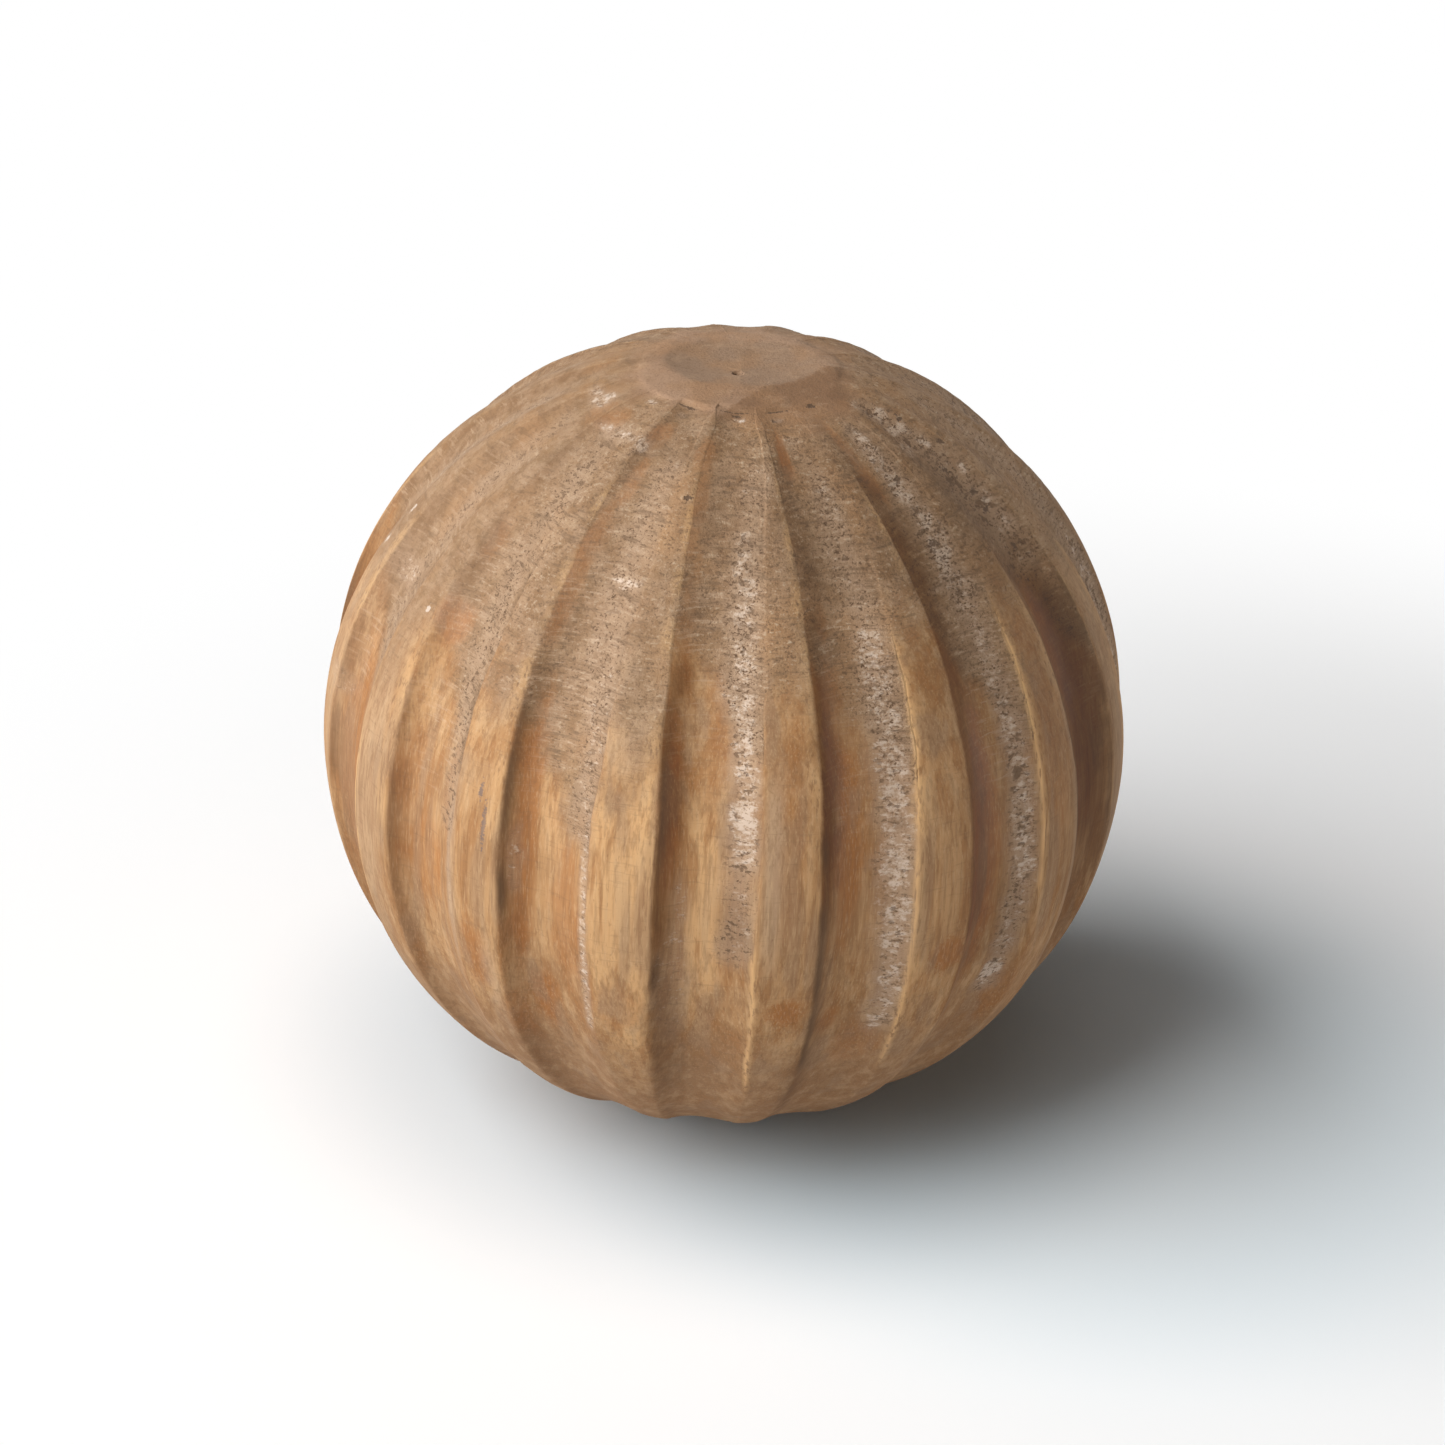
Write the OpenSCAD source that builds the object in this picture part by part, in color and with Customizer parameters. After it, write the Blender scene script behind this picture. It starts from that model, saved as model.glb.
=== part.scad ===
// Fluted ball, carved from one turned block of wood.
// Hollow flutes run from end to end, like the furrows of a melon. The crown is dressed
// with a few chisel cuts round a shallow hollow, and the foot is dressed flat, so the
// ball stands upright on it. Both ends keep the mark of the lathe centre.
// Millimetres, +Z up. The origin is the middle of the foot, on the surface it stands on.

/* [Ball] */
// Diameter of the turned blank, over the lands between the flutes
ball_d = 100; // [80:1:130]
// How much the crown is cut down from the pole of the sphere
crown_trim = 1.4; // [1:0.1:2.5]
// How much the foot is cut up from the lower pole of the sphere
foot_trim = 1.5; // [1:0.1:2.5]

/* [Flutes] */
// Number of flutes round the ball
flute_count = 16; // [12:1:20]
// Width of a flute at the widest part of the ball
flute_w = 11.8; // [8:0.1:13.5]
// Depth of a flute at the widest part of the ball
flute_depth = 2; // [1:0.1:2.8]
// How far across its width, from the steep side, a flute is deepest (percent)
trough_place = 40; // [30:1:70]
// Angle above the widest part at which the gouge comes out of the wood (degrees)
gouge_exit = 78; // [72:0.5:82]
// Direction of the first flute, from the front towards the right (degrees)
first_flute = -2.5; // [-11:0.5:11]

/* [Flute ends] */
// Distance from the axis at which the flutes stop, at the crown
crown_stop = 11.2; // [10.6:0.1:14]
// Distance from the axis at which the flutes stop, at the foot
foot_stop = 14; // [13:0.5:16]
// Width of the narrow gouge that finishes each end
end_w = 5; // [3:0.1:5.5]
// Depth of the stop at each end of a flute
end_depth = 1; // [0.6:0.1:1.2]
// Slope of the finishing cut (degrees)
end_slope = 13; // [11:0.5:16]

/* [Crown and foot] */
// Distance from the axis to the nearest chisel cut on the crown
crown_flat = 3.5; // [3:0.5:6]
// Distance from the axis to the nearest chisel cut on the foot
foot_flat = 9; // [7:0.5:11]
// Depth of the hollow in the crown
hollow_depth = 0.8; // [0.3:0.1:1.5]
// Half the breadth of each gouge cut that makes the hollow
hollow_r = 8; // [4:0.5:9]
// Diameter of the lathe centre's mark
mark_d = 1.6; // [1:0.1:3]
// Depth of the lathe centre's mark
mark_depth = 1.2; // [0.5:0.1:2]

/* [Hidden] */
$fn = 96;
ball_r = ball_d / 2;
centre_z = ball_r - foot_trim;
crown_h = ball_r - crown_trim;
foot_h = ball_r - foot_trim;

// The gouge's edge follows a circle a little larger than the ball, set back from the
// flute, so the cut is deepest at the widest part and runs out towards the poles.
path_set_back = flute_depth / (1 - cos(gouge_exit));
path_r = ball_r + path_set_back - flute_depth;
path_end = gouge_exit + 4;
// How far the gouge's section stands out of the wood
proud = 0.6;

// Each side of a flute is an arc through the trough and its own arris.
steep_w = flute_w * trough_place / 100;
gentle_w = flute_w - steep_w;
steep_r = arc_r(steep_w, flute_depth);
gentle_r = arc_r(gentle_w, flute_depth);
end_r = arc_r(end_w / 2, end_depth);
// The finishing cut is long enough to run out of the wood.
end_run = ball_r / 3;
hollow_sphere_r = arc_r(hollow_r, hollow_depth);
trough_turn = (steep_w - gentle_w) / 2 / ball_r * 180 / PI;

// Hand work, flute by flute: how far it strays sideways (degrees), how much deeper it
// is (mm), how far it twists off straight (degrees) and how far its stops fall back (mm).
stray = [-0.2, 0.1, 0.2, 0.2, 0.4, -0.3, -0.4, 0.2, 0.3, -0.3, 0.4, 0.1, 0.4, 0, 0.2, -0.5];
deeper = [0.1, 0.1, 0, 0.1, -0.1, 0.1, 0, -0.1, 0.1, 0, -0.1, 0.1, 0.1, -0.1, 0, 0];
twist = [-0.1, 0.1, -0.2, 0, 0.3, 0.4, -0.3, 0.2, -0.4, 0.4, -0.2, 0.3, -0.3, -0.1, 0.5, -0.1];
stop_back = [0, 0.2, 1.1, 1.2, 0.8, 1.4, 0.6, 1, 0.4, 1.3, 0.9, 0.5, 1.2, 1.6, 1.5, 0.9];

// Chisel cuts: [direction from the front towards the right (degrees), distance from the
// axis as a multiple of the nearest one, slope (degrees)].
crown_cuts = [[5, 1, 4], [34, 1.5, 9], [80, 2.9, 7], [125, 2.6, 7], [176, 1.95, 5],
              [-153, 2.1, 7], [-115, 2.4, 6], [-60, 2, 8]];
foot_cuts = [[20, 1.05, 6], [75, 1.1, 8], [130, 1, 6], [-175, 1.1, 7], [-110, 1, 7], [-45, 1.08, 8]];
// Middles of the two gouge cuts that make the hollow, and of the marks, as [x, y].
hollow_places = [[-2, 1.6], [2.2, 1.4]];
crown_mark = [-0.3, -0.8];
foot_mark = [0.4, 0.3];

// Radius of the arc that is half_w wide on each side where it is depth deep.
function arc_r(half_w, depth) = (half_w * half_w + depth * depth) / (2 * depth);

// A value of a list that starts again at its end.
function nth(list, i) = list[i % len(list)];

// Half of the gouge's section, on one side of the trough (side is 1 or -1).
module gouge_side(r, side) {
    intersection() {
        translate([path_r + r, 0])
            circle(r);
        translate([path_r, side < 0 ? -r : 0])
            square([flute_depth + proud, r]);
    }
}

// What the gouge takes out for one flute, as a curved bar from end to end.
module long_cut(extra_depth) {
    translate([-path_set_back - extra_depth, 0, 0])
        rotate([90, 0, 0])
            rotate_extrude(angle = 2 * path_end, start = -path_end) {
                gouge_side(steep_r, 1);
                gouge_side(gentle_r, -1);
            }
}

// The narrow cut that ends a flute with a square stop.
module end_cut(stop) {
    stop_h = sqrt(ball_r * ball_r - stop * stop) - end_depth;
    translate([stop, 0, stop_h])
        rotate([0, 90 + end_slope, 0])
            translate([-end_r, 0, 0])
                cylinder(r = end_r, h = end_run);
}

// Everything that is cut for one flute.
module flute(i) {
    turn = first_flute + i * 360 / flute_count + nth(stray, i);
    rotate([0, 0, turn - 90]) {
        rotate([0, 0, trough_turn])
            rotate([nth(twist, i), 0, 0])
                long_cut(nth(deeper, i));
        end_cut(crown_stop + nth(stop_back, i));
        mirror([0, 0, 1])
            end_cut(foot_stop + nth(stop_back, i + 5));
    }
}

// All that lies above a level, to cut an end flat.
module above() {
    translate([-ball_r, -ball_r, 0])
        cube([ball_d, ball_d, ball_r]);
}

// Flat chisel cuts that fall away outwards from lines on a dressed end.
module chisel_cuts(cuts, nearest) {
    for (cut = cuts)
        rotate([0, 0, cut[0]])
            translate([0, -cut[1] * nearest, 0])
                rotate([cut[2], 0, 0])
                    above();
}

// The pointed hole that the lathe centre leaves, with its mouth at height 0.
module centre_mark() {
    translate([0, 0, -mark_depth])
        cylinder(d1 = 0, d2 = 2 * mark_d, h = 2 * mark_depth);
}

module crown_dressing() {
    above();
    chisel_cuts(crown_cuts, crown_flat);
    for (place = hollow_places)
        translate([place[0], place[1], hollow_sphere_r - hollow_depth])
            sphere(hollow_sphere_r);
    translate([crown_mark[0], crown_mark[1], -hollow_depth])
        centre_mark();
}

module foot_dressing() {
    above();
    chisel_cuts(foot_cuts, foot_flat);
    translate([foot_mark[0], foot_mark[1], 0])
        centre_mark();
}

// The turned blank with both ends dressed, round the middle of the sphere.
module blank() {
    difference() {
        sphere(ball_r);
        translate([0, 0, crown_h])
            crown_dressing();
        translate([0, 0, -foot_h])
            mirror([0, 0, 1])
                foot_dressing();
    }
}

// The blank with its first n flutes, cut one after another.
module fluted(n) {
    if (n == 0)
        blank();
    else
        difference() {
            fluted(n - 1);
            flute(n - 1);
        }
}

module ball() {
    color([0.66, 0.48, 0.31])
        translate([0, 0, centre_z])
            fluted(flute_count);
}

ball();
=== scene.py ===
import math

import bpy
import numpy as np
from mathutils import Matrix, Vector, noise


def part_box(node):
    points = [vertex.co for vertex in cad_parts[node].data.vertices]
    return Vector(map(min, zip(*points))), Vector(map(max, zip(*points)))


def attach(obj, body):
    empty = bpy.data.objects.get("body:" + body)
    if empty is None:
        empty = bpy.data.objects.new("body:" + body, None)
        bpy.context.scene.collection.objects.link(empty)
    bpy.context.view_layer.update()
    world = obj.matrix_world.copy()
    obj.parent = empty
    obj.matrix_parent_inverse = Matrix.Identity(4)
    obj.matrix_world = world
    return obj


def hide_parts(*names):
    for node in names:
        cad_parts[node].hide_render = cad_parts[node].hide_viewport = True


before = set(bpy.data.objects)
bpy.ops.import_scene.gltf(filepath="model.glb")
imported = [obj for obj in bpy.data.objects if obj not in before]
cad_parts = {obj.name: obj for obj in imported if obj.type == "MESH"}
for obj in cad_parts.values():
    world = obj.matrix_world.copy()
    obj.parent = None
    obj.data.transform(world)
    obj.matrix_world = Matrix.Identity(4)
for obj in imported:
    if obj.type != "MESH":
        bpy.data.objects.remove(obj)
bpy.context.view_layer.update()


# ---------------------------------------------------------------------------
# The view
# The camera stands in front of the ball and looks down on it with a long lens.
# It leans a little to the left, so the lathe axis leans to the right.
# ---------------------------------------------------------------------------
MM = 0.001
BALL_R = 0.05
FOOT_TRIM = 0.0015
IMAGE_SIDE = 1445
BALL_IN_IMAGE = (724.4, 722.8)
BALL_IN_IMAGE_R = 401
CAMERA_AWAY = 12 * BALL_R
NEAREST_SEEN = 0.01
FARTHEST_SEEN = 20
CAMERA_ELEVATION = math.radians(27.5)
AXIS_LEAN = math.radians(2.34)
SENSOR = 36.0

ball_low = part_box("ball")[0]
middle = Vector((0, 0, ball_low.z + BALL_R - FOOT_TRIM))

lens_in_pixels = BALL_IN_IMAGE_R * math.sqrt((CAMERA_AWAY / BALL_R) ** 2 - 1)
lean = Matrix.Rotation(-AXIS_LEAN, 3, "Y")
backwards = lean @ Vector((0, -math.cos(CAMERA_ELEVATION), math.sin(CAMERA_ELEVATION)))
sideways = lean @ Vector((1, 0, 0))
upwards = backwards.cross(sideways)
aim_right = (IMAGE_SIDE / 2 - BALL_IN_IMAGE[0]) / lens_in_pixels * CAMERA_AWAY
aim_up = (BALL_IN_IMAGE[1] - IMAGE_SIDE / 2) / lens_in_pixels * CAMERA_AWAY

camera = bpy.data.objects.new("camera", bpy.data.cameras.new("camera"))
bpy.context.scene.collection.objects.link(camera)
camera.data.sensor_width = SENSOR
camera.data.lens = lens_in_pixels / IMAGE_SIDE * SENSOR
camera.data.clip_start = NEAREST_SEEN
camera.data.clip_end = FARTHEST_SEEN
place = middle + backwards * CAMERA_AWAY + sideways * aim_right + upwards * aim_up
axes = Matrix((sideways, upwards, backwards)).transposed()
camera.matrix_world = Matrix.Translation(place) @ axes.to_4x4()
bpy.context.scene.camera = camera


# ---------------------------------------------------------------------------
# The ball
# One block of wood, turned round and then cut by hand: sixteen flutes with a bent
# gouge, and flat chisel cuts at both ends. Lime was rubbed in and sanded off again.
# It is one mesh, whose columns follow the arrises between the flutes and the lands.
# ---------------------------------------------------------------------------
FLUTES = 16
FIRST_FLUTE = -2.5
FLUTE_W = 0.0118
FLUTE_DEPTH = 0.002
TROUGH_PLACE = 0.4
GOUGE_EXIT = math.radians(78)
CROWN_STOP = 0.0112
FOOT_STOP = 0.014
END_W = 0.005
END_DEPTH = 0.001
END_SLOPE = math.radians(13)

# Hand work, flute by flute: how far it strays sideways (degrees), how much deeper it
# is (mm), how far it twists (degrees), how far its stops fall back (mm) and how much of
# its end cuts is left.
STRAY = [-0.2, 0.1, 0.2, 0.2, 0.4, -0.3, -0.4, 0.2, 0.3, -0.3, 0.4, 0.1, 0.4, 0, 0.2, -0.5]
DEEPER = [0.1, 0.1, 0, 0.1, -0.1, 0.1, 0, -0.1, 0.1, 0, -0.1, 0.1, 0.1, -0.1, 0, 0]
TWIST = [-0.1, 0.1, -0.2, 0, 0.3, 0.4, -0.3, 0.2, -0.4, 0.4, -0.2, 0.3, -0.3, -0.1, 0.5, -0.1]
STOP_BACK = [0, 0.2, 1.1, 1.2, 0.8, 1.4, 0.6, 1, 0.4, 1.3, 0.9, 0.5, 1.2, 1.6, 1.5, 0.9]
STOP_SHARE = [1, 1, 0.8, 0.45, 0.4, 0.5, 0.4, 0.3, 0.4, 0.3, 0.4, 0.3, 0.35, 0.4, 0.6, 0.9]

# Where the columns stand across a flute and across a land (0 to 1): close together
# beside the arrises and wider apart between them.
FLUTE_COLUMNS = [0, 0.015, 0.045, 0.09, 0.15, 0.22, 0.3, 0.38, 0.46, 0.54, 0.62, 0.69,
                 0.755, 0.815, 0.87, 0.92, 0.96, 0.987]
LAND_COLUMNS = [0, 0.04, 0.12, 0.26, 0.44, 0.62, 0.8, 0.93]
BODY_RINGS = 170
END_RINGS = 33
CENTRE_RINGS = 17
CENTRE_AREA = 0.18
STOP_WALL = 0.00005
NARROWEST_LAND = 0.00015
GOUGE_REACH = 0.011

# How far the hand strays on a flute's left and right side, in (long waves, short waves),
# and how close together those waves come, in noise cells to a radian.
LEFT_STRAY = (0.00020, 0.00007)
RIGHT_STRAY = (0.00026, 0.00010)
LEFT_WAVES = (5, 28)
RIGHT_WAVES = (6, 30)
WANDER_STEPS = 400
WANDER_SEED_STEP = 7.31
NOISE_GAIN = 1.6
TINY = 1e-6


def arc_r(half_w, depth):
    """Radius of the arc that is half_w wide on each side where it is depth deep."""
    return (half_w**2 + depth**2) / (2 * depth)


def half_width(radius, depth):
    """Half the width of a cut of that radius where it is depth deep."""
    return np.sqrt(np.maximum(2 * radius * depth - depth**2, 0))


def below(radius, depth, sideways):
    """How deep a round cut is at a distance sideways from its deepest line."""
    return depth - radius + np.sqrt(np.maximum(radius**2 - sideways**2, 0))


def long_cut_depth(lat, deeper):
    """How deep the long cut's trough lies below the sphere at a latitude."""
    set_back = FLUTE_DEPTH / (1 - math.cos(GOUGE_EXIT))
    path_r = BALL_R + set_back - FLUTE_DEPTH
    back = set_back + deeper
    depth = BALL_R + back * np.cos(lat) - np.sqrt(path_r**2 - (back * np.sin(lat)) ** 2)
    return np.maximum(depth, 0)


def end_cut_depth(lat, stop):
    """How deep the narrow end cut's trough lies below the sphere at a latitude."""
    out = BALL_R * np.cos(lat)
    stop_h = math.sqrt(BALL_R**2 - stop**2) - END_DEPTH
    floor_h = stop_h - (out - stop) * math.tan(END_SLOPE)
    depth = (BALL_R * np.abs(np.sin(lat)) - floor_h) * math.cos(END_SLOPE)
    return np.where(out > stop, np.maximum(depth, 0), 0)


def wander(lat, cells, seed):
    """Smooth hand wander between about -1 and 1 along a flute."""
    steps = np.linspace(-math.pi / 2, math.pi / 2, WANDER_STEPS)
    way = [NOISE_GAIN * noise.noise((v * cells, seed * WANDER_SEED_STEP, 0.5)) for v in steps]
    return np.interp(lat, steps, way)


def step(low, high, values):
    """A soft step from 0 at low to 1 at high."""
    share = np.clip((values - low) / (high - low), 0, 1)
    return share * share * (3 - 2 * share)


def band(values, low, high, soft):
    """1 between low and high, falling off softly past both."""
    return step(low - soft, low + soft, values) * (1 - step(high - soft, high + soft, values))


def peak(values, place, width):
    """1 at a place, falling off evenly to both sides."""
    return np.exp(-((values - place) / width) ** 2)


steep_r = arc_r(FLUTE_W * TROUGH_PLACE, FLUTE_DEPTH)
gentle_r = arc_r(FLUTE_W * (1 - TROUGH_PLACE), FLUTE_DEPTH)
end_r = arc_r(END_W / 2, END_DEPTH)
trough_turn = (2 * TROUGH_PLACE - 1) * FLUTE_W / 2 / BALL_R

period = len(FLUTE_COLUMNS) + len(LAND_COLUMNS)
columns = FLUTES * period
column_flute = np.repeat(np.arange(FLUTES), period)
column_across = np.tile(FLUTE_COLUMNS + [1 + c for c in LAND_COLUMNS], FLUTES)


def per_column(values):
    """Each flute's value in its own columns, passing over to the next one's across the land."""
    here = np.array([values[i] for i in column_flute], float)
    there = np.array([values[(i + 1) % FLUTES] for i in column_flute], float)
    return here + (there - here) * np.clip(column_across - 1, 0, 1)


# The rings: close together round the lathe centre's marks, then out to the stops, and
# most along the flutes. Two stand close on either side of every stop, to keep it square.
crown_stops = [CROWN_STOP + MM * STOP_BACK[i] for i in range(FLUTES)]
foot_stops = [FOOT_STOP + MM * STOP_BACK[(i + 5) % FLUTES] for i in range(FLUTES)]
crown_stop, foot_stop = per_column(crown_stops), per_column(foot_stops)
end_share = np.concatenate([np.linspace(0, CENTRE_AREA, CENTRE_RINGS + 1)[1:],
                            np.linspace(CENTRE_AREA, 1, END_RINGS - CENTRE_RINGS + 1)[1:]])[:, None]
foot_rings = -np.arccos((foot_stop - STOP_WALL) * end_share / BALL_R)
crown_rings = np.arccos((crown_stop - STOP_WALL) * end_share[::-1] / BALL_R)
lowest = -np.arccos((foot_stop + STOP_WALL) / BALL_R)
highest = np.arccos((crown_stop + STOP_WALL) / BALL_R)
body_rings = lowest + (highest - lowest) * np.linspace(0, 1, BODY_RINGS)[:, None]
lat = np.vstack([foot_rings, body_rings, crown_rings])
held_lat = np.clip(lat, lowest, highest)
rings = len(lat)


def trough_cuts(i, lat):
    """Depth of flute i's two cuts, its sideways sway, and how far both its sides stray."""
    cut = long_cut_depth(lat, MM * DEEPER[i])
    end_cut = np.where(lat > 0, end_cut_depth(lat, crown_stops[i]), end_cut_depth(lat, foot_stops[i]))
    end_cut = end_cut * STOP_SHARE[i]
    sway = -BALL_R * np.sin(lat) * math.sin(math.radians(TWIST[i]))
    more_left = LEFT_STRAY[0] * wander(lat, LEFT_WAVES[0], i)
    more_left += LEFT_STRAY[1] * wander(lat, LEFT_WAVES[1], i + 40)
    more_right = RIGHT_STRAY[0] * wander(lat, RIGHT_WAVES[0], i + 20)
    more_right += RIGHT_STRAY[1] * wander(lat, RIGHT_WAVES[1], i + 60)
    return cut, end_cut, sway, more_left, more_right


# The two arrises of every flute, ring by ring. Where two flutes run into each other
# near the ends, their arrises meet halfway.
turns = np.radians([FIRST_FLUTE + i * 360 / FLUTES + STRAY[i] for i in range(FLUTES)])
left = np.zeros((rings, FLUTES + 1))
right = np.zeros((rings, FLUTES))
for i in range(FLUTES):
    flute_lat = held_lat[:, i * period]
    round_r = BALL_R * np.cos(flute_lat)
    cut, end_cut, sway, more_left, more_right = trough_cuts(i, flute_lat)
    trough = trough_turn * round_r
    reach_left = np.maximum(half_width(steep_r, cut) - trough + more_left, half_width(end_r, end_cut))
    reach_right = np.maximum(half_width(gentle_r, cut) + trough + more_right, half_width(end_r, end_cut))
    left[:, i] = turns[i] + (sway - reach_left) / round_r
    right[:, i] = turns[i] + (sway + reach_right) / round_r
left[:, FLUTES] = left[:, 0] + 2 * math.pi
narrowest = NARROWEST_LAND / (BALL_R * np.cos(held_lat[:, 0]))
for i in range(FLUTES):
    overlap = np.maximum(right[:, i] + narrowest - left[:, i + 1], 0) / 2
    right[:, i] -= overlap
    left[:, i + 1] += overlap
left[:, 0] = left[:, FLUTES] - 2 * math.pi
lon = np.zeros_like(lat)
for c in range(columns):
    i, share = column_flute[c], column_across[c]
    if share < 1:
        lon[:, c] = left[:, i] + (right[:, i] - left[:, i]) * share
    else:
        lon[:, c] = right[:, i] + (left[:, i + 1] - right[:, i]) * (share - 1)

# How deep every point is cut, by whichever flute cuts it deepest.
depth = np.zeros_like(lat)
round_r = BALL_R * np.cos(lat)
for i in range(FLUTES):
    cut, end_cut, sway, more_left, more_right = trough_cuts(i, lat)
    y = ((lon - turns[i] + math.pi) % (2 * math.pi) - math.pi) * round_r - sway
    from_trough = y - trough_turn * round_r
    steep = half_width(steep_r, cut)
    gentle = half_width(gentle_r, cut)
    steep_side = from_trough * steep / np.maximum(steep + more_left, TINY)
    gentle_side = from_trough * gentle / np.maximum(gentle + more_right, TINY)
    by_gouge = np.where(from_trough < 0, below(steep_r, cut, steep_side), below(gentle_r, cut, gentle_side))
    by_gouge = np.where(np.abs(from_trough) < GOUGE_REACH, by_gouge, 0)
    by_end = np.where(np.abs(y) < end_r, below(end_r, end_cut, y), 0)
    depth = np.maximum(depth, np.maximum(by_gouge, by_end))

direction = np.stack([np.cos(lat) * np.sin(lon), -np.cos(lat) * np.cos(lon), np.sin(lat)], -1)
lat_deg = np.degrees(lat)
lon_deg = (np.degrees(lon) + 180) % 360 - 180
across = np.broadcast_to(column_across, lat.shape)
in_flute = across < 1


def by_flute(values):
    """Each flute's value, over the flute and the land to the right of it."""
    return np.broadcast_to(np.array([values[i] for i in column_flute], float), lat.shape)


def table_by_flute(rows):
    """The columns of a table that has a row for every flute, each spread like by_flute's."""
    return [by_flute(values) for values in zip(*rows)]


WAVE_SEED_STEP = 3.7


def wave(size, seed, sideways=1.0):
    """Smooth noise over the whole surface, about -1 to 1, with cells of size mm. A low
    sideways draws them out round the ball."""
    scale = BALL_R / (MM * size)
    places = (direction * scale * np.array([sideways, sideways, 1])).reshape(-1, 3)
    places = places + (seed * WAVE_SEED_STEP, 0, 0)
    return np.array([NOISE_GAIN * noise.noise(place) for place in places]).reshape(lat.shape)


# Unevenness over the whole surface, from broad to fine, and in streaks round the ball.
broad = wave(14, seed=1)
medium = wave(5, seed=2)
small = wave(2.2, seed=3)
fine = wave(1.2, seed=4)
streaks = wave(2.0, seed=5, sideways=0.35)

# How a torn strip ends: how far past its tips it fades (degrees), how it falls off from
# its middle line (half widths) and where it stops at the flute's right arris.
SEAM_TAIL = 3
SEAM_FALL = (0.2, 1.55)
SEAM_END = (0.97, 1.02)


def seams(rows):
    """Torn strips. Each goes from one (direction, latitude) to another and has a half width,
    how torn it is and how much lime it holds."""
    torn, lime = np.zeros_like(lat), np.zeros_like(lat)
    for top_lon, top_lat, low_lon, low_lat, half_w, much_torn, much_lime in rows:
        share = np.clip((top_lat - lat_deg) / (top_lat - low_lat), 0, 1)
        off_lon = (lon_deg - top_lon - (low_lon - top_lon) * share + 180) % 360 - 180
        past = np.maximum(np.maximum(lat_deg - top_lat, low_lat - lat_deg), 0) / SEAM_TAIL
        off = np.hypot(off_lon / half_w, past) + 0.22 * small + 0.24 * medium + 0.12 * fine
        here = (1 - step(*SEAM_FALL, off)) * (1 - step(*SEAM_END, across))
        torn, lime = np.maximum(torn, much_torn * here), np.maximum(lime, much_lime * here)
    return torn, lime


# Where the wood is torn. Each hidden flute has one strip, SEAM_ASIDE degrees to the right
# of its middle.
HIDDEN_FLUTES = range(4, 13)
SEAM_ASIDE = 4.3
SEAMS = [
    (3.5, 64, 2.0, 50, 3.0, 0.5, 0.35), (1.5, 52, 1.6, 30, 2.8, 0.9, 0.85),
    (2.0, 31, 2.4, 9, 2.2, 0.9, 1.0), (2.2, 8, 1.6, -5, 2.4, 1.1, 0.45),
    (23.5, 62, 22.5, 50, 3.2, 0.7, 0.6), (22.8, 50, 24.5, 38, 3.0, 0.7, 0.45),
    (24.0, 38, 23.8, 18, 3.0, 0.6, 0.85), (24.2, 19, 24.5, -7, 2.8, 0.9, 1.0),
    (24.6, -6, 24.8, -20, 2.4, 0.9, 0.85), (46.5, 67, 46.0, 41, 3.2, 1.3, 0.95),
    (45.6, 41, 46.0, 21, 2.0, 0.7, 0.8), (46.4, 21, 47.1, -3, 2.2, 1.2, 0.95),
    (46.6, -3, 45.8, -20, 2.0, 1.3, 0.7), (-22, 63, -22, 31, 4.0, 0.5, 0.35),
    (-21, 31, -19.6, 11, 2.2, 0.6, 0.5), (-19.5, 12, -19.3, -20, 0.8, 0.7, 0.9),
    (-46, 62, -43.5, 31, 3.6, 0.9, 0.15), (-43.5, 31, -41.8, 6, 2.4, 1.0, 0.2),
    (-41.4, 6, -41.2, -16, 0.8, 0.3, 0.4), (-69, 62, -66, 22, 3.6, 0.6, 0.2),
    (65, 70, 67, 40, 5.0, 1.4, 0.5)
]
for i in HIDDEN_FLUTES:
    seam_lon = math.degrees(turns[i]) + SEAM_ASIDE
    SEAMS.append((seam_lon, 62, seam_lon - 0.5, 30, 3.0, 0.7, 0.5))
    SEAMS.append((seam_lon, 30, seam_lon, -4 - 5 * (i % 4), 2.6, 1.0, 0.8))
torn, lime = seams(SEAMS)


def spots(places, soft=0.3):
    """Marks with uneven edges, each (direction, latitude, half width, half height, how strong)."""
    found = np.zeros_like(lat)
    for spot_lon, spot_lat, half_w, half_h, much in places:
        off = np.hypot((lon_deg - spot_lon) / half_w, (lat_deg - spot_lat) / half_h)
        found = np.maximum(found, much * (1 - step(1 - soft, 1 + soft, off + 0.16 * small + 0.14 * medium)))
    return found


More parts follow.
